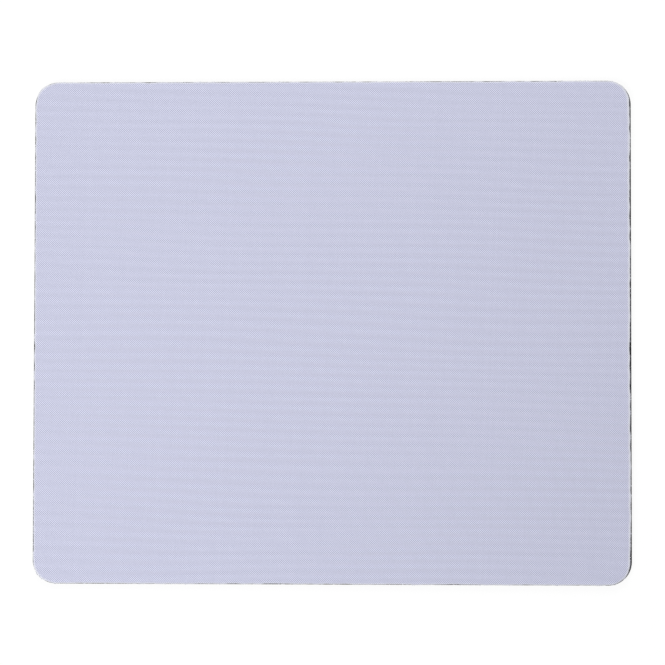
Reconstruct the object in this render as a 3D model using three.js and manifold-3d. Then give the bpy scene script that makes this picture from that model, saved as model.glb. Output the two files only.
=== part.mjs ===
// Mouse pad: a woven cloth top, bonded by a thin glue film to a black foam-rubber base.
// Millimetres, +Z up. The origin is the middle of the footprint, on the desk.

import * as THREE from 'three';
import { mergeVertices } from 'three/addons/utils/BufferGeometryUtils.js';
import Module from 'manifold-3d';

// Plan of the pad, measured at its foot
const PAD_LENGTH = 241.3;
const PAD_DEPTH = 203.2;
const CORNER_RADIUS = 9.525;

// Layers, from the desk up
const RUBBER_THICKNESS = 2.6;
const FILM_THICKNESS = 0.1;
const CLOTH_THICKNESS = 0.5;

// Die-cut edge: the foam springs back behind the blade, so the wall is waisted and its foot stands out
const FOOT_LIP = 0.3;
const WAIST_SETBACK = 0.65;
const CLOTH_SETBACK = 0.45;
// Width of the rim where the blade has pressed the cloth down
const RIM_WIDTH = 0.7;

// Embossed tread: V grooves that run along the pad in parallel waves
const TREAD_PITCH = 4;
const GROOVE_WIDTH = 1.5;
const GROOVE_DEPTH = 0.4;
const WAVE_LENGTH = 60;
const WAVE_SWING = 4;

// How far a cutting body runs past what it cuts
const CUT_OVERRUN = 1;

// Facets of each round form
const CORNER_STEPS = 6;
const WALL_STEPS = 4;
const RIM_STEPS = 4;
const WAVE_STEPS = 8;

const wasm = await Module();
wasm.setup();

// Closed geometry as a solid that can be cut
function solidOf(geometry) {
  const merged = mergeVertices(geometry);
  const vertProperties = Float32Array.from(merged.getAttribute('position').array);
  const triVerts = Uint32Array.from(merged.getIndex().array);
  return new wasm.Manifold(new wasm.Mesh({ numProp: 3, vertProperties, triVerts }));
}

// Cut solid as a geometry
function geometryOf(solid) {
  const { vertProperties, triVerts } = solid.getMesh();
  const geometry = new THREE.BufferGeometry();
  geometry.setAttribute('position', new THREE.BufferAttribute(vertProperties, 3));
  geometry.setIndex(new THREE.BufferAttribute(triVerts, 1));
  return geometry;
}

// Closed body through sections of one shape; endPlan is that shape, flat and counter-clockwise
function loft(sections, endPlan) {
  const count = endPlan.length;
  const index = [];
  for (let section = 0; section + 1 < sections.length; section += 1) {
    for (let point = 0; point < count; point += 1) {
      const here = section * count + point;
      const beside = section * count + ((point + 1) % count);
      index.push(here, beside, beside + count);
      index.push(here, beside + count, here + count);
    }
  }
  const last = (sections.length - 1) * count;
  for (const [a, b, c] of THREE.ShapeUtils.triangulateShape(endPlan, [])) {
    index.push(a, c, b);
    index.push(last + a, last + b, last + c);
  }
  const geometry = new THREE.BufferGeometry().setFromPoints(sections.flat());
  geometry.setIndex(index);
  return geometry;
}

// The pad's rounded outline, drawn in from the foot by inset
function padOutline(inset) {
  const radius = CORNER_RADIUS - inset;
  const x = PAD_LENGTH / 2 - CORNER_RADIUS;
  const y = PAD_DEPTH / 2 - CORNER_RADIUS;
  const quarter = Math.PI / 2;
  const shape = new THREE.Shape();
  shape.absarc(x, y, radius, 0, quarter);
  shape.absarc(-x, y, radius, quarter, 2 * quarter);
  shape.absarc(-x, -y, radius, 2 * quarter, 3 * quarter);
  shape.absarc(x, -y, radius, 3 * quarter, 4 * quarter);
  return shape.getPoints(CORNER_STEPS);
}

// Slab of that outline; profile gives its edge as points (inset, height) from the bottom up
function slab(profile) {
  const ring = (edge) => padOutline(edge.x).map((p) => new THREE.Vector3(p.x, p.y, edge.y));
  return loft(profile.map(ring), padOutline(profile[0].x));
}

// Block with the wave tread on its underside, larger than the pad all round
function treadBlock() {
  const rows = Math.ceil((PAD_DEPTH / 2 + WAVE_SWING + CUT_OVERRUN) / TREAD_PITCH);
  const side = rows * TREAD_PITCH;
  const top = RUBBER_THICKNESS + CUT_OVERRUN;
  const comb = [new THREE.Vector2(-side, 0)];
  for (let row = -rows; row < rows; row += 1) {
    const middle = (row + 0.5) * TREAD_PITCH;
    comb.push(new THREE.Vector2(middle - GROOVE_WIDTH / 2, 0));
    comb.push(new THREE.Vector2(middle, GROOVE_DEPTH));
    comb.push(new THREE.Vector2(middle + GROOVE_WIDTH / 2, 0));
  }
  comb.push(new THREE.Vector2(side, 0), new THREE.Vector2(side, top), new THREE.Vector2(-side, top));

  const stride = WAVE_LENGTH / WAVE_STEPS;
  const strides = Math.ceil((PAD_LENGTH / 2 + CUT_OVERRUN) / stride);
  const sections = [];
  for (let step = -strides; step <= strides; step += 1) {
    const swing = WAVE_SWING * Math.sin((2 * Math.PI * step) / WAVE_STEPS);
    sections.push(comb.map((p) => new THREE.Vector3(step * stride, p.x + swing, p.y)));
  }
  return loft(sections, comb);
}

// Foam-rubber base: the treaded block, cut by a waisted blank of the pad's outline
function rubberBase() {
  const underfoot = new THREE.Vector2(0, -CUT_OVERRUN);
  const lip = new THREE.Vector2(0, FOOT_LIP);
  const top = new THREE.Vector2(CLOTH_SETBACK, RUBBER_THICKNESS);
  const pull = new THREE.Vector2(2 * WAIST_SETBACK - CLOTH_SETBACK / 2, (FOOT_LIP + RUBBER_THICKNESS) / 2);
  const wall = new THREE.QuadraticBezierCurve(lip, pull, top);
  const blank = slab([underfoot, ...wall.getPoints(WALL_STEPS)]);
  return geometryOf(solidOf(treadBlock()).intersect(solidOf(blank)));
}

// Glue film: a thin sheet, cut flush with the top of the base
function bondingFilm() {
  const bottom = new THREE.Vector2(CLOTH_SETBACK, 0);
  const top = new THREE.Vector2(CLOTH_SETBACK, FILM_THICKNESS);
  return slab([bottom, top]);
}

// Cloth top: flat, with a rim that rolls down to the cut line
function fabricTop() {
  const flatFrom = CLOTH_SETBACK + RIM_WIDTH;
  const roll = new THREE.EllipseCurve(flatFrom, 0, RIM_WIDTH, CLOTH_THICKNESS, Math.PI, Math.PI / 2, true);
  return slab(roll.getPoints(RIM_STEPS));
}

// Named layer of the pad, with its underside at a height above the desk
function layer(name, geometry, height, finish) {
  geometry.computeVertexNormals();
  const mesh = new THREE.Mesh(geometry, new THREE.MeshStandardMaterial(finish));
  mesh.name = name;
  mesh.position.z = height;
  return mesh;
}

const RUBBER = { color: 0x17171a, roughness: 0.85, metalness: 0 };
const GLUE = { color: 0xe8e6dc, roughness: 0.4, metalness: 0 };
const CLOTH = { color: 0xcccee4, roughness: 0.9, metalness: 0 };

const mousePad = new THREE.Group();
mousePad.name = 'mouse_pad';
mousePad.add(
  layer('rubber_base', rubberBase(), 0, RUBBER),
  layer('bonding_film', bondingFilm(), RUBBER_THICKNESS, GLUE),
  layer('fabric_top', fabricTop(), RUBBER_THICKNESS + FILM_THICKNESS, CLOTH),
);

export default mousePad;
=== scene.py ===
"""Looks of a cloth mouse pad: woven top with cut thread ends, glue film and treaded foam-rubber base.

Every size is in metres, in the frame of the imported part: +X along the pad, +Y away from the user, +Z up.
"""

import logging
import math
import random
from collections.abc import Callable
from dataclasses import dataclass
from enum import Enum
from typing import NamedTuple

import bmesh
import bpy
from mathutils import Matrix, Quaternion, Vector, noise


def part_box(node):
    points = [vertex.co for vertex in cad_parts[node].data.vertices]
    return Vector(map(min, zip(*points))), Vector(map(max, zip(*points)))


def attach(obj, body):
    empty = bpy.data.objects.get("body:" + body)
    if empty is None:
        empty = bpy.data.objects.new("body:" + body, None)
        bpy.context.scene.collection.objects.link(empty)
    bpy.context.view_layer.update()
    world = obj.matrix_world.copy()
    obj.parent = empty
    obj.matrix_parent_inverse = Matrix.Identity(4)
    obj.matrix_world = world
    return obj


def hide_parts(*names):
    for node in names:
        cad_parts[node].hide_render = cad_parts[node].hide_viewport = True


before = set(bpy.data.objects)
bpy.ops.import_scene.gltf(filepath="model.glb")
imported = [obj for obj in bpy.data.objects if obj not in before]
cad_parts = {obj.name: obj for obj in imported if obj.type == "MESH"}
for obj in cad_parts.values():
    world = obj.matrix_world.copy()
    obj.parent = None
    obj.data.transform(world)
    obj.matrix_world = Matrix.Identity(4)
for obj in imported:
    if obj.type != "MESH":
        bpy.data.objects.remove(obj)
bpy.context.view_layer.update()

MM = 0.001
BODY = "root"
LOG = logging.getLogger("mouse_pad")

# Points this close are merged, and heights this close are one level
MERGE_DISTANCE = 0.001 * MM
LEVEL_SLACK = 0.01 * MM

FULL_TURN_DEG = 360.0
QUAD_CORNERS = 4
WHITE = (1.0, 1.0, 1.0)

# The span that smooth noise mostly keeps to
NOISE_LOW = 0.3
NOISE_HIGH = 0.7

# Share, pair of values and result of a Mix node, by number: its sockets for numbers and colours share names
MIX_NUMBERS = (0, 2, 3)
NUMBER_OUT = 0
MIX_COLOURS = (0, 6, 7)
COLOUR_OUT = 2

Colour = tuple[float, float, float]
Place = tuple[float, float, float]
Profile = list[tuple[float, float]]
Piece = bpy.types.Object
Socket = bpy.types.NodeSocket
Sockets = bpy.types.bpy_prop_collection
Feed = Socket | float | Colour


class MeshPart(Enum):
    """What a selection is made of, or what an attribute lies on."""

    POINT = "verts"
    EDGE = "edges"
    FACE = "faces"


class Blend(Enum):
    """How one colour is laid over another."""

    MIX = "MIX"
    MULTIPLY = "MULTIPLY"


def pick(piece: Piece) -> None:
    """Selects one piece alone and makes it the active object.

    Args:
        piece: the object to work on.
    """
    bpy.ops.object.select_all(action="DESELECT")
    piece.select_set(True)
    bpy.context.view_layer.objects.active = piece


def start_piece(name: str) -> Piece:
    """Starts a piece as an empty mesh, alone and in edit mode.

    Args:
        name: the piece's name.

    Returns:
        The new object.
    """
    bpy.ops.object.select_all(action="DESELECT")
    bpy.ops.mesh.primitive_plane_add(size=1.0)
    piece = bpy.context.object
    piece.name = name
    piece.data.name = name
    bpy.ops.object.mode_set(mode="EDIT")
    bpy.ops.mesh.select_mode(type="VERT")
    bpy.ops.mesh.delete(type="VERT")
    return piece


def close_piece(piece: Piece, smooth_below: float) -> None:
    """Ends a piece and leaves edit mode: merges doubles, turns faces outwards and smooths shallow edges.

    Args:
        piece: the object to finish.
        smooth_below: angle in degrees up to which an edge is shaded smooth.
    """
    bpy.ops.object.mode_set(mode="OBJECT")
    pick(piece)
    bpy.ops.object.mode_set(mode="EDIT")
    bpy.ops.mesh.select_all(action="SELECT")
    bpy.ops.mesh.remove_doubles(threshold=MERGE_DISTANCE)
    bpy.ops.mesh.normals_make_consistent(inside=False)
    bpy.ops.object.mode_set(mode="OBJECT")
    bpy.ops.object.shade_smooth_by_angle(angle=math.radians(smooth_below))


def apply_modifier(piece: Piece, modifier: bpy.types.Modifier) -> None:
    """Applies one modifier to its piece."""
    pick(piece)
    bpy.ops.object.modifier_apply(modifier=modifier.name)


def repeat(piece: Piece, count: int, step: Place, merged: bool) -> None:
    """Copies a piece's mesh along a straight row.

    Args:
        piece: the object, which holds the first one.
        count: how many there are in the end.
        step: the way from each to the next.
        merged: whether neighbours are joined where they touch.
    """
    row = piece.modifiers.new("row", "ARRAY")
    row.use_relative_offset = False
    row.use_constant_offset = True
    row.constant_offset_displace = step
    row.count = count
    row.use_merge_vertices = merged
    row.merge_threshold = MERGE_DISTANCE
    apply_modifier(piece, row)


def extrude(step: Place) -> None:
    """Extrudes what is selected in edit mode by one step."""
    bpy.ops.mesh.extrude_region_move(TRANSFORM_OT_translate={"value": step})


def select_parts(part: MeshPart, wanted: Callable[[bmesh.types.BMEdge | bmesh.types.BMFace], bool]) -> None:
    """Selects the edges or faces that pass a test, and nothing else, in edit mode.

    Args:
        part: which of the two are tested.
        wanted: the test.
    """
    bpy.ops.mesh.select_all(action="DESELECT")
    bpy.ops.mesh.select_mode(type=part.name)
    mesh = bpy.context.edit_object.data
    for item in getattr(bmesh.from_edit_mesh(mesh), part.value):
        item.select_set(wanted(item))
    bmesh.update_edit_mesh(mesh)


def mark(piece: Piece, name: str, part: MeshPart, values: list[float]) -> None:
    """Gives a piece an attribute, with a value for each of its points or faces, that its material reads."""
    marks = piece.data.attributes.new(name, "FLOAT", part.name)
    marks.data.foreach_set("value", values)


class Facing(Enum):
    """A way that part of the pad's edge faces, in degrees from +X."""

    RIGHT = 0
    BACK_RIGHT = 45
    BACK = 90
    BACK_LEFT = 135
    LEFT = 180
    FRONT_LEFT = 225
    FRONT = 270
    FRONT_RIGHT = 315

    def share(self, outward: Vector) -> float:
        """Tells how near a direction is to this way.

        Args:
            outward: the direction that the edge faces.

        Returns:
            From 1 along this way to 0 at the next one.
        """
        half_turn = FULL_TURN_DEG / 2
        angle = math.degrees(math.atan2(outward.y, outward.x))
        apart = abs((angle - self.value + half_turn) % FULL_TURN_DEG - half_turn)
        return max(1.0 - apart / (FULL_TURN_DEG / len(Facing)), 0.0)


class EdgeCut(NamedTuple):
    """How the die left one side or corner of the cloth.

    Attributes:
        drift: how far inside its drawn line the cloth is cut.
        wander: how far that line wanders slowly.
        nick: how far it wavers in short nicks.
        pressed: width of the band that the die has pressed pale.
    """

    drift: float
    wander: float
    nick: float
    pressed: float


# In mm
EDGE_CUTS = {
    Facing.RIGHT: EdgeCut(drift=0.27, wander=0.44, nick=0.38, pressed=1.25),
    Facing.BACK_RIGHT: EdgeCut(drift=-0.18, wander=0.10, nick=0.26, pressed=1.1),
    Facing.BACK: EdgeCut(drift=0.03, wander=0.12, nick=0.24, pressed=0.65),
    Facing.BACK_LEFT: EdgeCut(drift=0.0, wander=0.10, nick=0.26, pressed=1.0),
    Facing.LEFT: EdgeCut(drift=0.205, wander=0.06, nick=0.31, pressed=0.75),
    Facing.FRONT_LEFT: EdgeCut(drift=-0.08, wander=0.10, nick=0.26, pressed=1.0),
    Facing.FRONT: EdgeCut(drift=-0.15, wander=0.26, nick=0.20, pressed=0.55),
    Facing.FRONT_RIGHT: EdgeCut(drift=-0.04, wander=0.14, nick=0.24, pressed=0.85),
}


def edge_cut(outward: Vector) -> EdgeCut:
    """Blends the cuts of the side and the corner nearest to an outward direction, in metres."""
    shares = [Vector(cut) * facing.share(outward) for facing, cut in EDGE_CUTS.items()]
    return EdgeCut(*sum(shares, Vector.Fill(len(EdgeCut._fields))) * MM)


@dataclass(frozen=True)
class Outline:
    """The pad's rounded rectangle, measured at its foot."""

    length: float
    depth: float
    radius: float = 9.525 * MM
    corner_segments: int = 14
    side_cuts: int = 19
    slice_spacing: float = 5.0 * MM

    def nearest(self, point: Vector) -> tuple[Vector, float]:
        """Looks from a point to the outline.

        Args:
            point: a place on the pad.

        Returns:
            The outward direction there, which is zero far from the edge, and the distance to the edge.
        """
        past_x = max(abs(point.x) - self.length / 2 + self.radius, 0.0)
        past_y = max(abs(point.y) - self.depth / 2 + self.radius, 0.0)
        reach = math.hypot(past_x, past_y)
        outward = Vector((math.copysign(past_x, point.x), math.copysign(past_y, point.y), 0.0))
        return outward.normalized(), self.radius - reach

    def add_ring(self, inset: float, height: float) -> None:
        """Adds one open outline to the mesh in edit mode.

        Args:
            inset: how far it lies inside the foot.
            height: its level above the desk.
        """
        bpy.ops.mesh.primitive_plane_add(size=1.0, location=(0.0, 0.0, height))
        bpy.ops.transform.resize(value=(self.length - 2 * inset, self.depth - 2 * inset, 1.0))
        bpy.ops.mesh.bevel(offset=self.radius - inset, segments=self.corner_segments, affect="VERTICES")
        bpy.ops.mesh.delete(type="ONLY_FACE")

        # The straight sides are the long edges, and two rounds of cuts give them fine steps
        select_parts(MeshPart.EDGE, lambda edge: edge.calc_length() > self.radius)
        bpy.ops.mesh.subdivide(number_cuts=self.side_cuts)
        bpy.ops.mesh.subdivide(number_cuts=self.side_cuts)

    def loft(self, profile: Profile) -> None:
        """Makes a closed slab in edit mode.

        Args:
            profile: its edge as pairs of inset and height, from the bottom up.
        """
        for inset, height in profile:
            self.add_ring(inset, height)
        bpy.ops.mesh.select_all(action="SELECT")
        bpy.ops.mesh.bridge_edge_loops()
        bpy.ops.mesh.select_all(action="SELECT")
        bpy.ops.mesh.fill_holes(sides=0)

    def slice_evenly(self) -> None:
        """Cuts the mesh in edit mode along straight lines both ways."""
        for way, extent in (((1.0, 0.0, 0.0), self.length), ((0.0, 1.0, 0.0), self.depth)):
            count = int(extent / 2 / self.slice_spacing)
            for step in range(-count, count + 1):
                bpy.ops.mesh.select_all(action="SELECT")
                bpy.ops.mesh.bisect(plane_co=Vector(way) * step * self.slice_spacing, plane_no=way)


@dataclass(frozen=True)
class DieCut:
    """How one stroke of the die really ran: a little off square, with a line that wanders."""

    outline: Outline
    wander_length: float = 14.0 * MM
    nick_length: float = 4.0 * MM
    fade_depth: float = 4.0 * MM

    def shift(self, point: Vector, share: float) -> Vector:
        """Moves a point of the cut edge to where the blade left it.

        Args:
            point: the place on the square cut.
            share: how far up the edge it lies, from 0 at the foot to 1 at the cloth.

        Returns:
            The way that the point moves.
        """
        outward, inset = self.outline.nearest(point)
        fade = max(1.0 - inset / self.fade_depth, 0.0)
        flat = Vector((point.x, point.y, 0.0))
        cut = edge_cut(outward)
        inward = cut.drift
        inward += cut.wander * noise.noise(flat / self.wander_length)
        inward += cut.nick * noise.noise(flat / self.nick_length)
        return outward * -inward * fade * share

    def apply(self, piece: Piece, foot: float, top: float) -> None:
        """Moves every point of a piece's edge.

        Args:
            piece: the layer that was cut.
            foot: height at which nothing moves.
            top: height from which the whole shift is taken.
        """
        for vertex in piece.data.vertices:
            share = min(max((vertex.co.z - foot) / (top - foot), 0.0), 1.0)
            vertex.co += self.shift(vertex.co, share)


class Wiring:
    """Places nodes in a tree and links them, so that a finish reads as a list of steps."""

    def __init__(self, tree: bpy.types.NodeTree) -> None:
        """Keeps the tree that the nodes go into."""
        self.tree = tree

    def feed(self, socket: Socket, value: Feed) -> None:
        """Links a socket to another one, or sets its value.

        Args:
            socket: the input to feed.
            value: an output socket, a number or a colour, which is made opaque where the socket asks.
        """
        if isinstance(value, Socket):
            self.tree.links.new(value, socket)
        elif isinstance(value, tuple) and len(socket.default_value) == len(value) + 1:
            socket.default_value = (*value, 1.0)
        else:
            socket.default_value = value

    def place(self, kind: str, feeds: dict[str | int, Feed], **settings: object) -> bpy.types.Node:
        """Adds a node.

        Args:
            kind: Blender's name of the node's type.
            feeds: what each of its inputs gets.
            settings: its other properties.

        Returns:
            The node.
        """
        node = self.tree.nodes.new(kind)
        for name, value in settings.items():
            setattr(node, name, value)
        for socket, value in feeds.items():
            self.feed(node.inputs[socket], value)
        return node

    def maths(self, operation: str, *values: Feed) -> Socket:
        """Adds a Math node on the given values and returns its result."""
        return self.place("ShaderNodeMath", dict(enumerate(values)), operation=operation).outputs[0]

    def times(self, first: Feed, second: Feed) -> Socket:
        """Multiplies two numbers and returns the result."""
        return self.maths("MULTIPLY", first, second)

    def span(
        self, value: Feed, low: float, high: float, to_low: float = 0.0, to_high: float = 1.0
    ) -> Socket:
        """Carries a value from one span to another, held at the ends, and returns it."""
        feeds = dict(enumerate((value, low, high, to_low, to_high)))
        return self.place("ShaderNodeMapRange", feeds).outputs[0]

    def vary(self, value: Feed, spread: float, low: float = 0.0, high: float = 1.0) -> Socket:
        """Turns a value between two limits into a factor that varies about 1, and returns it."""
        return self.span(value, low, high, 1.0 - spread, 1.0 + spread)

    def blend(self, share: Feed, first: Feed, second: Feed, way: Blend = Blend.MIX) -> Socket:
        """Lays a share of the second colour over the first and returns the result."""
        feeds = dict(zip(MIX_COLOURS, (share, first, second)))
        return self.place("ShaderNodeMix", feeds, data_type="RGBA", blend_type=way.value).outputs[COLOUR_OUT]

    def blend_values(self, share: Feed, first: Feed, second: Feed) -> Socket:
        """Mixes two numbers by a share of the second and returns the result."""
        feeds = dict(zip(MIX_NUMBERS, (share, first, second)))
        return self.place("ShaderNodeMix", feeds).outputs[NUMBER_OUT]

    def vector(self, x: Feed, y: Feed, z: Feed) -> Socket:
        """Joins three numbers into a vector and returns it."""
        return self.place("ShaderNodeCombineXYZ", {0: x, 1: y, 2: z}).outputs[0]

    def speckle(self, place: Feed, scale: Feed, detail: float) -> Socket:
        """Returns smooth noise, about 0 to 1, with a scale in specks for each unit of place."""
        feeds = {"Vector": place, "Scale": scale, "Detail": detail}
        return self.place("ShaderNodeTexNoise", feeds).outputs[0]

    def streak(self, x: Feed, y: Feed, scales: tuple[float, float], layer: float, detail: float) -> Socket:
        """Returns smooth noise that is drawn out one way, by its scales along x and along y."""
        scale_x, scale_y = scales
        return self.speckle(self.vector(self.times(x, scale_x), self.times(y, scale_y), layer), 1.0, detail)

    def chance(self, number: Feed) -> Socket:
        """Returns a random value from 0 to 1 that goes with a number."""
        return self.place("ShaderNodeTexWhiteNoise", {"W": number}, noise_dimensions="1D").outputs[0]

    def bump(self, height: Feed, depth: float, under: Feed | None = None) -> Socket:
        """Turns a height from 0 to 1 into a normal.

        Args:
            height: the relief.
            depth: how far it stands out, in metres.
            under: a normal that it is laid over.

        Returns:
            The normal.
        """
        node = self.place("ShaderNodeBump", {"Height": height, "Distance": depth, "Strength": 1.0})
        if under is not None:
            self.feed(node.inputs["Normal"], under)
        return node.outputs[0]


class Surface(Wiring):
    """A material in the making: one Principled BSDF and the nodes that feed it."""

    def __init__(self, name: str) -> None:
        """Starts the material.

        Args:
            name: the material's name.
        """
        self.material = bpy.data.materials.new(name)
        self.material.use_nodes = True
        self.shader = self.material.node_tree.nodes["Principled BSDF"]
        super().__init__(self.material.node_tree)

    def dress(self, socket: str, value: Feed) -> None:
        """Feeds one of the shader's sockets."""
        self.feed(self.shader.inputs[socket], value)

    def position(self) -> Socket:
        """Returns the place on the piece, in metres."""
        return self.place("ShaderNodeTexCoord", {}).outputs["Object"]

    def attribute(self, name: str) -> Socket:
        """Reads one of the piece's own attributes and returns its value."""
        return self.place("ShaderNodeAttribute", {}, attribute_name=name).outputs["Fac"]

    def lay(self, effect: bpy.types.NodeTree, values: dict[str | int, Feed]) -> Sockets:
        """Places an effect on the surface with its own values and returns what it puts out."""
        feeds = {"Position": self.position(), **values}
        return self.place("ShaderNodeGroup", feeds, node_tree=effect).outputs


class Effect(Wiring):
    """A shader node group in the making, with named inputs and outputs."""

    def __init__(self, name: str, inputs: list[str], outputs: list[str]) -> None:
        """Starts the group.

        Args:
            name: the group's name.
            inputs: its inputs, of which Position is a vector and the others are numbers.
            outputs: its outputs, which are numbers.
        """
        super().__init__(bpy.data.node_groups.new(name, "ShaderNodeTree"))
        for socket in inputs:
            kind = "NodeSocketVector" if socket == "Position" else "NodeSocketFloat"
            self.tree.interface.new_socket(socket, in_out="INPUT", socket_type=kind)
        for socket in outputs:
            self.tree.interface.new_socket(socket, in_out="OUTPUT", socket_type="NodeSocketFloat")
        self.given = self.place("NodeGroupInput", {}).outputs
        self.end = self.place("NodeGroupOutput", {})

    def give(self, socket: str, value: Feed) -> None:
        """Feeds one of the group's outputs."""
        self.feed(self.end.inputs[socket], value)


@dataclass(frozen=True)
class PlainWeave:
    """A plain weave, in which each thread passes over one crossing thread and under the next.

    Heights are shares of the relief, and a lead is how far one thread stands above the crossing one. Sways
    are counted for each metre, and fibres for each thread.
    """

    roundness: float = 0.7
    girth: float = 0.55
    rise: float = 0.45
    clear_lead: float = 0.07
    seam_lead: float = 0.16
    sways_across: float = 18.0
    sways_along: float = 5.0
    sway_detail: float = 1.0
    warp_sway_layer: float = 0.0
    weft_sway_layer: float = 7.0
    fibres_across: float = 10.0
    fibres_along: float = 0.9
    fibre_detail: float = 2.0
    warp_fibre_layer: float = 3.0
    weft_fibre_layer: float = 6.0
    least_warp_tone: float = 0.25
    most_warp_tone: float = 0.75
    weft_tone_offset: float = 0.5

    def height(self, weave: Effect, own_wave: Socket, crossing_wave: Socket, rise: float) -> Socket:
        """Shapes one set of threads, round across and rising and falling along their length.

        Args:
            weave: the group in the making.
            own_wave: a wave across these threads.
            crossing_wave: the same across the other set.
            rise: how far they rise, which is negative for the set that starts below.

        Returns:
            Their height.
        """
        bulge = weave.maths("POWER", weave.maths("ABSOLUTE", own_wave), self.roundness)
        climb = weave.times(weave.maths("SIGN", own_wave), crossing_wave)
        return weave.maths("MULTIPLY_ADD", climb, rise, weave.times(bulge, self.girth))

    def build(self) -> bpy.types.NodeTree:
        """Builds the weave as a node group.

        Returns:
            The group. Height is the relief, Warp Over is 1 where the warp lies on top, Seam is 1 where two
            threads meet, Tone is each thread's own shade, Fibre the streak of its filaments and Bars the
            faint bands where the weft falls in and out of step with the loom, all from 0 to 1.
        """
        inputs = ["Position", "Warp Pitch", "Weft Pitch", "Warp Lean", "Weft Rise", "Sway", "Beat"]
        outputs = ["Height", "Warp Over", "Seam", "Tone", "Fibre", "Bars"]
        weave = Effect("plain_weave", inputs, outputs)
        x, y, _ = weave.place("ShaderNodeSeparateXYZ", {0: weave.given["Position"]}).outputs

        # Threads are counted across the cloth, with the slow sway of a real loom
        across, along = self.sways_across, self.sways_along
        warp_sway = weave.streak(x, y, (across, along), self.warp_sway_layer, self.sway_detail)
        weft_sway = weave.streak(x, y, (along, across), self.weft_sway_layer, self.sway_detail)
        warp_line = weave.maths("MULTIPLY_ADD", y, weave.given["Warp Lean"], x)
        weft_line = weave.maths("MULTIPLY_ADD", x, weave.given["Weft Rise"], y)
        warp_count = weave.maths("DIVIDE", warp_line, weave.given["Warp Pitch"])
        weft_count = weave.maths("DIVIDE", weft_line, weave.given["Weft Pitch"])
        warp = weave.maths("MULTIPLY_ADD", warp_sway, weave.given["Sway"], warp_count)
        weft = weave.maths("MULTIPLY_ADD", weft_sway, weave.given["Sway"], weft_count)

        # Where warp and weft cross, the higher one is seen
        warp_wave = weave.maths("SINE", weave.times(warp, math.pi))
        weft_wave = weave.maths("SINE", weave.times(weft, math.pi))
        warp_height = self.height(weave, warp_wave, weft_wave, self.rise)
        weft_height = self.height(weave, weft_wave, warp_wave, -self.rise)
        lead = weave.maths("SUBTRACT", warp_height, weft_height)
        over = weave.span(lead, -self.clear_lead, self.clear_lead)
        weave.give("Height", weave.maths("MAXIMUM", warp_height, weft_height))
        weave.give("Warp Over", over)
        weave.give("Seam", weave.span(weave.maths("ABSOLUTE", lead), 0.0, self.seam_lead, 1.0, 0.0))

        # Filaments run along each thread, which has its own tone
        across, along = self.fibres_across, self.fibres_along
        warp_fibre = weave.streak(warp, weft, (across, along), self.warp_fibre_layer, self.fibre_detail)
        weft_fibre = weave.streak(warp, weft, (along, across), self.weft_fibre_layer, self.fibre_detail)
        warp_chance = weave.chance(weave.maths("FLOOR", warp))
        warp_tone = weave.span(warp_chance, 0.0, 1.0, self.least_warp_tone, self.most_warp_tone)
        weft_tone = weave.chance(weave.maths("ADD", weave.maths("FLOOR", weft), self.weft_tone_offset))
        weave.give("Fibre", weave.blend_values(over, weft_fibre, warp_fibre))
        weave.give("Tone", weave.blend_values(over, weft_tone, warp_tone))

        # The weft falls in and out of step with the beat of the loom
        step = weave.maths("SUBTRACT", weft, weave.maths("DIVIDE", y, weave.given["Beat"]))
        bars = weave.maths("SINE", weave.times(step, 2 * math.pi))
        weave.give("Bars", weave.span(bars, -1.0, 1.0))
        return weave.tree


def build_grain() -> bpy.types.NodeTree:
    """Builds a fine pebbled grain with slow patches as a node group.

    Returns:
        The group. Height is the relief and Shade a slow change of tone, both from 0 to 1.
    """
    grain = Effect("fine_grain", ["Position", "Pebble Scale", "Patch Scale"], ["Height", "Shade"])
    for output, scale, detail in (("Height", "Pebble Scale", 3.0), ("Shade", "Patch Scale", 4.0)):
        specks = grain.speckle(grain.given["Position"], grain.given[scale], detail)
        grain.give(output, grain.span(specks, NOISE_LOW, NOISE_HIGH))
    return grain.tree


class Effects(NamedTuple):
    """Surface effects that the finishes place, each built once as a node group."""

    weave: bpy.types.NodeTree
    grain: bpy.types.NodeTree


@dataclass(frozen=True)
class Grain:
    """Scales of the fine grain on one material, in specks for each metre."""

    pebble_scale: float
    patch_scale: float

    def lay(self, surface: Surface, effects: Effects) -> tuple[Socket, Socket]:
        """Places the grain on a surface.

        Args:
            surface: the material in the making.
            effects: the groups to choose from.

        Returns:
            The grain's height and its shade.
        """
        values = {"Pebble Scale": self.pebble_scale, "Patch Scale": self.patch_scale}
        grain = surface.lay(effects.grain, values)
        return grain["Height"], grain["Shade"]


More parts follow.
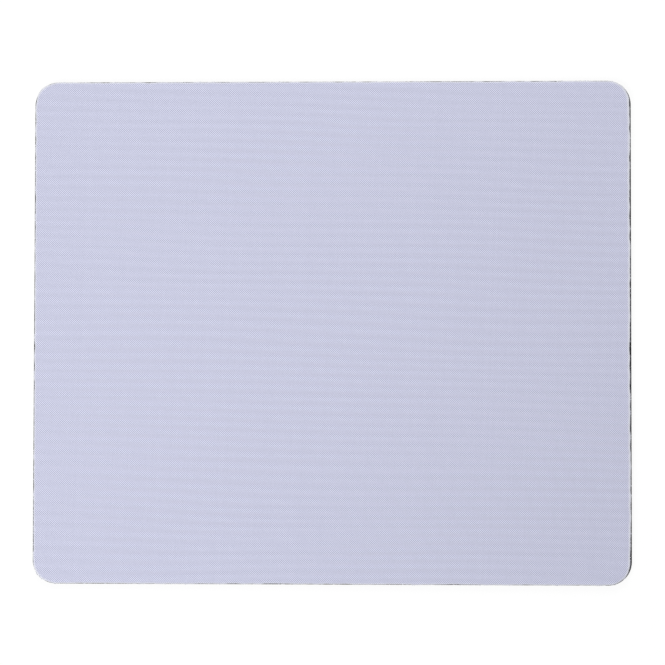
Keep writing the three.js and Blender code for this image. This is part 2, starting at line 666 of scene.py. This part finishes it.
@dataclass(frozen=True)
class WovenCloth:
    """Pale plain-woven polyester, with a paler rim where the die has pressed it.

    The warp's lean and the weft's rise are slopes, and the sway is counted in threads.
    """

    effects: Effects
    # The warp's colour holds painted sheen and the weft's painted shade, either side of the cloth's own
    # colour
    lit_warp_colour: Colour = (0.820, 0.835, 1.0)
    shaded_weft_colour: Colour = (0.469, 0.482, 0.655)
    rim_colour: Colour = (0.92, 0.93, 0.97)
    rim_share: float = 0.95
    least_contrast: float = 0.85
    gap_shade: float = 0.82
    gap_height: float = 0.15
    crest_height: float = 0.95
    seam_shade: float = 0.12
    fibre_spread: float = 0.06
    tone_spread: float = 0.027
    warp_pitch: float = 0.4178 * MM
    weft_pitch: float = 0.4472 * MM
    warp_lean: float = -0.0320
    weft_rise: float = -0.0030
    sway: float = 3.0
    loom_beat: float = 0.4025 * MM
    bar_spread: float = 0.0165
    patches: Grain = Grain(pebble_scale=6000.0, patch_scale=330.0)
    relief: float = 0.05 * MM
    fibre_relief: float = 0.01 * MM
    gap_roughness: float = 0.95
    crest_roughness: float = 0.8
    specular: float = 0.25
    sheen: float = 0.1
    sheen_roughness: float = 0.5

    def material(self) -> bpy.types.Material:
        """Mixes the cloth's colours and relief.

        Returns:
            The material.
        """
        cloth = Surface("woven_cloth")
        values = {
            "Warp Pitch": self.warp_pitch,
            "Weft Pitch": self.weft_pitch,
            "Warp Lean": self.warp_lean,
            "Weft Rise": self.weft_rise,
            "Sway": self.sway,
            "Beat": self.loom_beat,
        }
        weave = cloth.lay(self.effects.weave, values)
        _, patch = self.patches.lay(cloth, self.effects)

        # Warp and weft catch the light differently, more so in some patches than in others; that sheen and
        # shade are painted into their two colours
        contrast = cloth.span(patch, 0.0, 1.0, self.least_contrast, 1.0)
        half = 0.5
        aside = cloth.maths("SUBTRACT", weave["Warp Over"], half)
        over = cloth.maths("MULTIPLY_ADD", aside, contrast, half)
        threads = cloth.blend(over, self.shaded_weft_colour, self.lit_warp_colour)

        # Painted shade: darker in the gaps between threads and down each thread's curve, and along the seams
        # where two threads meet
        painted_gap_shade = cloth.span(weave["Height"], self.gap_height, self.crest_height, self.gap_shade, 1.0)
        painted_seam_shade = cloth.span(weave["Seam"], 0.0, 1.0, 1.0, 1.0 - self.seam_shade)
        tones = cloth.vary(weave["Tone"], self.tone_spread)
        bars = cloth.vary(weave["Bars"], self.bar_spread)
        streaks = cloth.vary(weave["Fibre"], self.fibre_spread, NOISE_LOW, NOISE_HIGH)
        # The shade is painted shade from gaps and seams, times the threads' own streaks, tones and bars
        shade = cloth.times(cloth.times(painted_gap_shade, painted_seam_shade), cloth.times(streaks, cloth.times(tones, bars)))
        rim = cloth.times(cloth.attribute("rim"), self.rim_share)
        plain = cloth.blend(rim, threads, self.rim_colour)
        cloth.dress("Base Color", cloth.blend(1.0, plain, shade, Blend.MULTIPLY))

        roughness = cloth.span(weave["Height"], 0.0, 1.0, self.gap_roughness, self.crest_roughness)
        fibres = cloth.bump(weave["Fibre"], self.fibre_relief)
        cloth.dress("Roughness", roughness)
        cloth.dress("Normal", cloth.bump(weave["Height"], self.relief, fibres))
        cloth.dress("Specular IOR Level", self.specular)
        cloth.dress("Sheen Weight", self.sheen)
        cloth.dress("Sheen Roughness", self.sheen_roughness)
        return cloth.material


@dataclass(frozen=True)
class FoamRubber:
    """Black foam rubber: an embossed skin below and open cells on the cut wall."""

    effects: Effects
    skin_and_pit_shade_colour: Colour = (0.010, 0.010, 0.011)
    worn_colour: Colour = (0.022, 0.022, 0.024)
    cut_colour: Colour = (0.020, 0.020, 0.022)
    grain: Grain = Grain(pebble_scale=3200.0, patch_scale=60.0)
    pebble_relief: float = 0.03 * MM
    cell_scale: float = 3400.0
    cell_radius: float = 0.55
    cell_relief: float = 0.15 * MM
    skin_roughness: float = 0.55
    worn_roughness: float = 0.72
    cut_roughness: float = 0.9
    specular: float = 0.4

    def material(self) -> bpy.types.Material:
        """Mixes the rubber's skin and its open cells.

        Returns:
            The material.
        """
        rubber = Surface("foam_rubber")
        pebble, shade = self.grain.lay(rubber, self.effects)
        cut = rubber.attribute("cut_wall")
        feeds = {"Vector": rubber.position(), "Scale": self.cell_scale}
        cells = rubber.place("ShaderNodeTexVoronoi", feeds).outputs["Distance"]
        cell_height = rubber.span(cells, 0.0, self.cell_radius)
        skin = rubber.blend(shade, self.skin_and_pit_shade_colour, self.worn_colour)
        # Painted shade: each open cell is darker at its middle, where its pit lies, in the skin's colour
        foam = rubber.blend(cell_height, self.skin_and_pit_shade_colour, self.cut_colour)
        rubber.dress("Base Color", rubber.blend(cut, skin, foam))
        skin_roughness = rubber.span(shade, 0.0, 1.0, self.skin_roughness, self.worn_roughness)
        rubber.dress("Roughness", rubber.blend_values(cut, skin_roughness, self.cut_roughness))
        pebbles = rubber.bump(pebble, self.pebble_relief)
        rubber.dress("Normal", rubber.bump(rubber.times(cell_height, cut), self.cell_relief, pebbles))
        rubber.dress("Specular IOR Level", self.specular)
        return rubber.material


@dataclass(frozen=True)
class GlueFilm:
    """Milky hot-melt film, grained by the threads that were pressed into it."""

    effects: Effects
    clear_colour: Colour = (0.50, 0.49, 0.45)
    milky_colour: Colour = (0.72, 0.71, 0.67)
    grain: Grain = Grain(pebble_scale=1800.0, patch_scale=220.0)
    relief: float = 0.02 * MM
    dip_roughness: float = 0.3
    crest_roughness: float = 0.5

    def material(self) -> bpy.types.Material:
        """Mixes the film's colours and relief.

        Returns:
            The material.
        """
        glue = Surface("glue_film")
        pebble, shade = self.grain.lay(glue, self.effects)
        glue.dress("Base Color", glue.blend(shade, self.clear_colour, self.milky_colour))
        glue.dress("Roughness", glue.span(pebble, 0.0, 1.0, self.dip_roughness, self.crest_roughness))
        glue.dress("Normal", glue.bump(pebble, self.relief))
        return glue.material


@dataclass(frozen=True)
class CutThread:
    """Ends of the cloth's threads, each a little paler or greyer than the next."""

    effects: Effects
    pale_colour: Colour = (0.76, 0.775, 0.88)
    grey_colour: Colour = (0.54, 0.55, 0.66)
    grain: Grain = Grain(pebble_scale=26000.0, patch_scale=900.0)
    relief: float = 0.008 * MM
    least_roughness: float = 0.8
    most_roughness: float = 0.95
    specular: float = 0.25

    def material(self) -> bpy.types.Material:
        """Mixes the thread ends' colours and relief.

        Returns:
            The material.
        """
        thread = Surface("cut_thread")
        pebble, shade = self.grain.lay(thread, self.effects)
        tone = thread.attribute("tone")
        thread.dress("Base Color", thread.blend(tone, self.grey_colour, self.pale_colour))
        thread.dress("Roughness", thread.span(shade, 0.0, 1.0, self.least_roughness, self.most_roughness))
        thread.dress("Normal", thread.bump(pebble, self.relief))
        thread.dress("Specular IOR Level", self.specular)
        return thread.material


@dataclass
class FoamBase:
    """Foam-rubber base with its waisted cut wall and the wave tread underneath."""

    cut: DieCut
    thickness: float
    cloth_setback: float
    foot_lip: float = 0.3 * MM
    waist_setback: float = 0.65 * MM
    wall_steps: int = 8
    tread_pitch: float = 4.0 * MM
    groove_width: float = 1.5 * MM
    groove_depth: float = 0.4 * MM
    shoulder: float = 0.18 * MM
    shoulder_segments: int = 3
    wave_length: float = 60.0 * MM
    wave_swing: float = 4.0 * MM
    wave_steps: int = 24
    overrun: float = 1.0 * MM
    smooth_below: float = 40.0
    # A face that looks further down than this belongs to the tread
    tread_normal: float = -0.5

    def swing_at(self, x: float) -> float:
        """Returns how far a groove lies to the side at a place along the pad."""
        return self.wave_swing * math.sin(2 * math.pi * x / self.wave_length)

    def wall(self) -> Profile:
        """Draws the waisted wall as a curve that is pulled inwards between its foot and its top.

        Returns:
            Pairs of inset and height, from below the desk to the top of the base.
        """
        pull = 2 * self.waist_setback - self.cloth_setback / 2
        rise = self.thickness - self.foot_lip
        profile = [(0.0, -self.overrun)]
        for step in range(self.wall_steps + 1):
            share = step / self.wall_steps
            inset = 2 * share * (1 - share) * pull + share * share * self.cloth_setback
            profile.append((inset, self.foot_lip + share * rise))
        return profile

    def draw_rib(self) -> None:
        """Draws one rib of the tread in edit mode, from groove to groove, along its wave."""
        stride = self.wave_length / self.wave_steps
        strides = math.ceil((self.cut.outline.length / 2 + self.overrun) / stride)
        first = -strides * stride
        flank = self.groove_width / 2
        land = self.tread_pitch - self.groove_width
        bpy.ops.mesh.primitive_plane_add(size=self.groove_width)
        bpy.ops.mesh.merge(type="CENTER")
        start = (first, self.swing_at(first) - self.tread_pitch / 2, self.groove_depth)
        bpy.ops.transform.translate(value=start)
        for step_y, step_z in ((flank, -self.groove_depth), (land, 0.0), (flank, self.groove_depth)):
            extrude((0.0, step_y, step_z))
        bpy.ops.mesh.select_all(action="SELECT")
        for step in range(-strides, strides):
            aside = self.swing_at((step + 1) * stride) - self.swing_at(step * stride)
            extrude((stride, aside, 0.0))

    def is_shoulder(self, edge: bmesh.types.BMEdge) -> bool:
        """Tells the two edges of a rib's land that run along it."""
        one, other = (vertex.co for vertex in edge.verts)
        return max(one.z, other.z) < self.groove_depth / 2 and abs(one.x - other.x) > LEVEL_SLACK

    def tread_block(self) -> Piece:
        """Makes a block, wider than the pad, with the tread on its underside.

        Returns:
            The block.
        """
        half_depth = self.cut.outline.depth / 2 + self.wave_swing + self.overrun
        side_rows = math.ceil(half_depth / self.tread_pitch)
        piece = start_piece("tread_block")
        self.draw_rib()
        select_parts(MeshPart.EDGE, self.is_shoulder)
        bpy.ops.mesh.bevel(offset=self.shoulder, segments=self.shoulder_segments, affect="EDGES")
        bpy.ops.mesh.select_all(action="SELECT")
        bpy.ops.transform.translate(value=(0.0, -side_rows * self.tread_pitch, 0.0))
        bpy.ops.object.mode_set(mode="OBJECT")
        repeat(piece, 2 * side_rows + 1, (0.0, self.tread_pitch, 0.0), merged=True)
        bpy.ops.object.mode_set(mode="EDIT")
        bpy.ops.mesh.select_all(action="SELECT")
        extrude((0.0, 0.0, self.thickness + self.overrun))
        close_piece(piece, self.smooth_below)
        return piece

    def is_wall(self, face: bpy.types.MeshPolygon) -> bool:
        """Tells the faces of the cut wall from the tread and the top."""
        return face.normal.z > self.tread_normal and face.center.z < self.thickness - LEVEL_SLACK

    def build(self, finish: FoamRubber) -> Piece:
        """Makes the base and dresses it.

        Args:
            finish: its rubber.

        Returns:
            The piece.
        """
        piece = start_piece("foam_base")
        self.cut.outline.loft(self.wall())
        self.cut.outline.slice_evenly()
        close_piece(piece, self.smooth_below)
        block = self.tread_block()
        tread = piece.modifiers.new("tread", "BOOLEAN")
        tread.operation = "INTERSECT"
        tread.solver = "EXACT"
        tread.object = block
        apply_modifier(piece, tread)
        bpy.data.objects.remove(block)
        close_piece(piece, self.smooth_below)
        self.cut.apply(piece, self.foot_lip, self.thickness)
        mark(piece, "cut_wall", MeshPart.FACE, [float(self.is_wall(face)) for face in piece.data.polygons])
        piece.data.materials.clear()
        piece.data.materials.append(finish.material())
        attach(piece, BODY)
        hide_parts("rubber_base")
        return piece


@dataclass
class FilmLayer:
    """Hot-melt film between the foam and the cloth, squeezed out a little at its cut edge."""

    cut: DieCut
    bottom: float
    top: float
    setback: float
    squeeze: float = 0.03 * MM
    smooth_below: float = 60.0

    def build(self, finish: GlueFilm) -> Piece:
        """Makes the film and dresses it.

        Args:
            finish: its glue.

        Returns:
            The piece.
        """
        bulge = (self.setback - self.squeeze, (self.bottom + self.top) / 2)
        piece = start_piece("glue_film")
        self.cut.outline.loft([(self.setback, self.bottom), bulge, (self.setback, self.top)])
        self.cut.outline.slice_evenly()
        close_piece(piece, self.smooth_below)
        self.cut.apply(piece, 0.0, self.bottom)
        piece.data.materials.append(finish.material())
        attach(piece, BODY)
        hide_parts("bonding_film")
        return piece


@dataclass
class ThreadEnds:
    """Cut ends of the cloth's threads, standing out of its rim all the way round."""

    cut: DieCut
    cloth_bottom: float
    setback: float
    lift: float = 0.2 * MM
    pitch: float = 0.432 * MM
    width: float = 0.36 * MM
    thickness: float = 0.24 * MM
    root: float = 0.35 * MM
    reach: float = 0.015 * MM
    tip: float = 0.04 * MM
    # A face that looks further along -Y than this is the tip
    tip_normal: float = -0.9
    spread: float = 0.05 * MM
    frayed_share: float = 0.12
    least_fray: float = 0.3
    fray: float = 0.25 * MM
    lean: float = 0.02 * MM
    droop: float = 0.05 * MM
    sides: int = 8
    smooth_below: float = 70.0
    seed: int = 7

    def path(self) -> Piece:
        """Draws the cloth's cut line.

        Returns:
            The line as a curve.
        """
        start_piece("cut_line")
        self.cut.outline.add_ring(self.setback, self.cloth_bottom + self.lift)
        bpy.ops.object.mode_set(mode="OBJECT")
        bpy.ops.object.convert(target="CURVE")
        return bpy.context.object

    def stub(self) -> Piece:
        """Makes one thread end that points along -Y, with a rounded tip.

        Returns:
            The thread end, under the name of the whole row.
        """
        bpy.ops.object.select_all(action="DESELECT")
        bpy.ops.mesh.primitive_cylinder_add(
            vertices=self.sides,
            radius=self.width / 2,
            depth=self.root + self.reach,
            location=(0.0, (self.root - self.reach) / 2, 0.0),
            rotation=(math.pi / 2, 0.0, 0.0),
        )
        piece = bpy.context.object
        piece.name = "cut_thread_ends"
        piece.data.name = piece.name
        bpy.ops.object.transform_apply(location=True, rotation=True, scale=True)
        bpy.ops.object.mode_set(mode="EDIT")
        bpy.ops.transform.resize(value=(1.0, 1.0, self.thickness / self.width))
        select_parts(MeshPart.FACE, lambda face: face.normal.y < self.tip_normal)
        bpy.ops.mesh.inset(thickness=self.tip)
        bpy.ops.transform.translate(value=(0.0, -self.tip / 2, 0.0))
        bpy.ops.object.mode_set(mode="OBJECT")
        return piece

    def loosen(self, piece: Piece, corners: int) -> None:
        """Gives each thread end its own reach, droop, lean and tone.

        Args:
            piece: the row of ends.
            corners: points of one end.
        """
        draw = random.Random(self.seed)
        vertices = piece.data.vertices
        tones = []
        for first in range(0, len(vertices), corners):
            group = vertices[first:first + corners]
            middle = sum((vertex.co for vertex in group), Vector()) / corners
            outward, _ = self.cut.outline.nearest(middle)
            stretch = draw.uniform(-1.0, 1.0) * self.spread
            if draw.random() < self.frayed_share:
                stretch += draw.uniform(self.least_fray, 1.0) * self.fray
            lean_x = draw.gauss(0.0, self.lean)
            lean_y = draw.gauss(0.0, self.lean)
            droop = draw.uniform(-self.droop, self.droop)
            move = Vector((lean_x, lean_y, droop)) + self.cut.shift(middle, 1.0)
            tones.extend([draw.random()] * corners)
            for vertex in group:
                at_tip = (vertex.co - middle).dot(outward) > 0.0
                vertex.co += move + (outward * stretch if at_tip else Vector())
        mark(piece, "tone", MeshPart.POINT, tones)

    def build(self, finish: CutThread) -> Piece:
        """Makes the row of thread ends and dresses it.

        Args:
            finish: their thread.

        Returns:
            The piece.
        """
        line = self.path()
        around = sum(spline.calc_length() for spline in line.data.splines)
        piece = self.stub()
        corners = len(piece.data.vertices)
        count = round(around / self.pitch)
        repeat(piece, count, (around / count, 0.0, 0.0), merged=False)
        bend = piece.modifiers.new("round", "CURVE")
        bend.object = line
        bend.deform_axis = "POS_X"
        apply_modifier(piece, bend)
        bpy.data.objects.remove(line)
        self.loosen(piece, corners)
        close_piece(piece, self.smooth_below)
        piece.data.materials.append(finish.material())
        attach(piece, BODY)
        return piece


@dataclass
class ClothTop:
    """Woven cloth with a rim that the die has rolled down."""

    cut: DieCut
    bottom: float
    top: float
    setback: float
    rim_width: float = 0.7 * MM
    rim_fullness: float = 3.0
    rim_steps: int = 8
    flat_band: float = 0.3 * MM
    flat_bands: int = 2
    smooth_below: float = 60.0
    swell: float = 0.02 * MM
    swell_length: float = 30.0 * MM

    def edge(self) -> Profile:
        """Draws the cloth's rolled edge as a quarter of a full oval.

        Returns:
            Pairs of inset and height, from the bottom up.
        """
        profile = []
        for step in range(self.rim_steps + 1):
            turn = math.pi / 2 * step / self.rim_steps
            out = math.cos(turn) ** (2 / self.rim_fullness)
            rise = math.sin(turn) ** (2 / self.rim_fullness)
            inset = self.setback + self.rim_width * (1 - out)
            profile.append((inset, self.bottom + (self.top - self.bottom) * rise))
        return profile

    def is_flat(self, face: bmesh.types.BMFace) -> bool:
        """Tells the one large face on top from the underside and the strips of the rim."""
        return len(face.verts) > QUAD_CORNERS and face.calc_center_median().z > self.bottom

    def mark_rim(self, piece: Piece) -> None:
        """Marks the pressed rim, from 1 at the cut line to 0 where the cloth lies flat.

        Args:
            piece: the cloth.
        """
        values = []
        for vertex in piece.data.vertices:
            outward, inset = self.cut.outline.nearest(vertex.co)
            share = 1.0 - (inset - self.setback) / edge_cut(outward).pressed
            values.append(min(max(share, 0.0), 1.0))
        mark(piece, "rim", MeshPart.POINT, values)

    def swell_slightly(self, piece: Piece) -> None:
        """Lowers the flat of the cloth here and there, as foam under it gives way.

        Args:
            piece: the cloth.
        """
        for vertex in piece.data.vertices:
            if vertex.co.z > self.top - LEVEL_SLACK:
                flat = Vector((vertex.co.x, vertex.co.y, 0.0))
                vertex.co.z -= self.swell * (1.0 + noise.noise(flat / self.swell_length)) / 2

    def build(self, finish: WovenCloth) -> Piece:
        """Makes the cloth and dresses it.

        Args:
            finish: its weave.

        Returns:
            The piece.
        """
        piece = start_piece("woven_cloth")
        self.cut.outline.loft(self.edge())
        select_parts(MeshPart.FACE, self.is_flat)
        for _ in range(self.flat_bands):
            bpy.ops.mesh.inset(thickness=self.flat_band)
        self.cut.outline.slice_evenly()
        close_piece(piece, self.smooth_below)
        self.mark_rim(piece)
        self.swell_slightly(piece)
        self.cut.apply(piece, 0.0, self.bottom)
        piece.data.materials.append(finish.material())
        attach(piece, BODY)
        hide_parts("fabric_top")
        return piece


@dataclass(frozen=True)
class Lamp:
    """A square soft lamp that is turned towards the pad."""

    name: str
    place: Place
    share: float
    size: float = 0.4

    def build(self) -> None:
        """Hangs the lamp, at the power that gives its share of a plain light level on the pad."""
        reach = Vector(self.place)
        facing = reach.z / reach.length
        lamp = bpy.data.lights.new(self.name, "AREA")
        lamp.energy = self.share * math.pi**2 * reach.length_squared / facing
        lamp.size = self.size
        hung = bpy.data.objects.new(self.name, lamp)
        hung.location = self.place
        hung.rotation_mode = "QUATERNION"
        hung.rotation_quaternion = (-reach).to_track_quat("-Z", "Y")
        hung.visible_camera = False
        bpy.context.scene.collection.objects.link(hung)


@dataclass
class Studio:
    """Pale floor, soft light and a camera that looks almost straight down."""

    floor_size: float = 6.0
    floor_drop: float = 0.02 * MM
    floor_colour: Colour = (0.12, 0.12, 0.12)
    floor_glow: float = 0.90
    far_glow: float = 0.97
    fade_from: float = 0.2
    fade_to: float = 0.8
    room_strength: float = 0.3
    lamps: tuple[Lamp, ...] = (
        Lamp("left_lamp", place=(-0.274, -0.284, 0.6), share=0.418),
        Lamp("back_lamp", place=(0.028, 0.572, 0.6), share=0.311),
    )
    camera_place: Place = (0.0359, -0.0367, 0.9979)
    camera_turn_deg: tuple[float, float, float] = (2.100, 2.0348, 0.058)
    lens_mm: float = 133.905
    sensor_mm: float = 36.0

    def seen(self, wiring: Wiring) -> Socket:
        """Tells the rays that show the background, straight, mirrored or through glass.

        Args:
            wiring: the tree that asks.

        Returns:
            1 for those rays and 0 for the others.
        """
        path = wiring.place("ShaderNodeLightPath", {})
        shown = wiring.maths("MAXIMUM", path.outputs["Is Camera Ray"], path.outputs["Is Glossy Ray"])
        return wiring.maths("MAXIMUM", shown, path.outputs["Is Transmission Ray"])

    def lay_floor(self) -> None:
        """Makes the floor that the pad lies on: white in the distance, and clear when seen from below."""
        bpy.ops.object.select_all(action="DESELECT")
        bpy.ops.mesh.primitive_plane_add(size=self.floor_size, location=(0.0, 0.0, -self.floor_drop))
        floor = bpy.context.object
        floor.name = "floor"
        paint = Surface("floor")
        paint.dress("Base Color", self.floor_colour)
        paint.dress("Roughness", 1.0)
        paint.dress("Specular IOR Level", 0.0)
        paint.dress("Emission Color", WHITE)
        away = paint.place("ShaderNodeVectorMath", {0: paint.position()}, operation="LENGTH")
        glow = paint.span(
            away.outputs["Value"], self.fade_from, self.fade_to, self.floor_glow, self.far_glow
        )
        paint.dress("Emission Strength", paint.times(self.seen(paint), glow))
        below = paint.place("ShaderNodeNewGeometry", {}).outputs["Backfacing"]
        paint.dress("Alpha", paint.maths("SUBTRACT", 1.0, below))
        floor.data.materials.append(paint.material)

    def light_room(self) -> None:
        """Makes the even light of a white room."""
        world = bpy.data.worlds.new("room")
        bpy.context.scene.world = world
        world.use_nodes = True
        wiring = Wiring(world.node_tree)
        room = world.node_tree.nodes["Background"]
        wiring.feed(room.inputs["Color"], WHITE)
        strength = wiring.blend_values(self.seen(wiring), self.room_strength, 1.0)
        wiring.feed(room.inputs["Strength"], strength)

    def set_camera(self) -> None:
        """Makes the camera at the photograph's viewing angle."""
        lens = bpy.data.cameras.new("camera")
        lens.sensor_width = self.sensor_mm
        lens.lens = self.lens_mm
        camera = bpy.data.objects.new("camera", lens)
        turn = Vector(math.radians(angle) for angle in self.camera_turn_deg)
        camera.location = self.camera_place
        camera.rotation_mode = "QUATERNION"
        camera.rotation_quaternion = Quaternion(turn.normalized(), turn.length)
        bpy.context.scene.collection.objects.link(camera)
        bpy.context.scene.camera = camera

    def build(self) -> None:
        """Sets up the floor, the light, the camera and plain colour management."""
        self.lay_floor()
        self.light_room()
        for lamp in self.lamps:
            lamp.build()
        self.set_camera()
        bpy.context.scene.view_settings.view_transform = "Standard"


def main() -> None:
    """Builds the layers from the desk up, then the studio, and reports each piece."""
    foot_low, foot_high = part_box("rubber_base")
    film_low, film_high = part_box("bonding_film")
    cloth_low, cloth_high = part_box("fabric_top")
    outline = Outline(foot_high.x - foot_low.x, foot_high.y - foot_low.y)
    setback = foot_high.x - cloth_high.x
    cut = DieCut(outline)
    effects = Effects(weave=PlainWeave().build(), grain=build_grain())
    base = FoamBase(cut, foot_high.z - foot_low.z, setback).build(FoamRubber(effects))
    film = FilmLayer(cut, film_low.z, film_high.z, setback).build(GlueFilm(effects))
    top = ClothTop(cut, cloth_low.z, cloth_high.z, setback)
    cloth = top.build(WovenCloth(effects))
    ends = ThreadEnds(cut, cloth_low.z, setback).build(CutThread(effects))
    Studio().build()
    for piece in (base, film, cloth, ends):
        LOG.info("%s: %d faces", piece.name, len(piece.data.polygons))


if __name__ == "__main__":
    logging.basicConfig(level=logging.INFO)
    main()
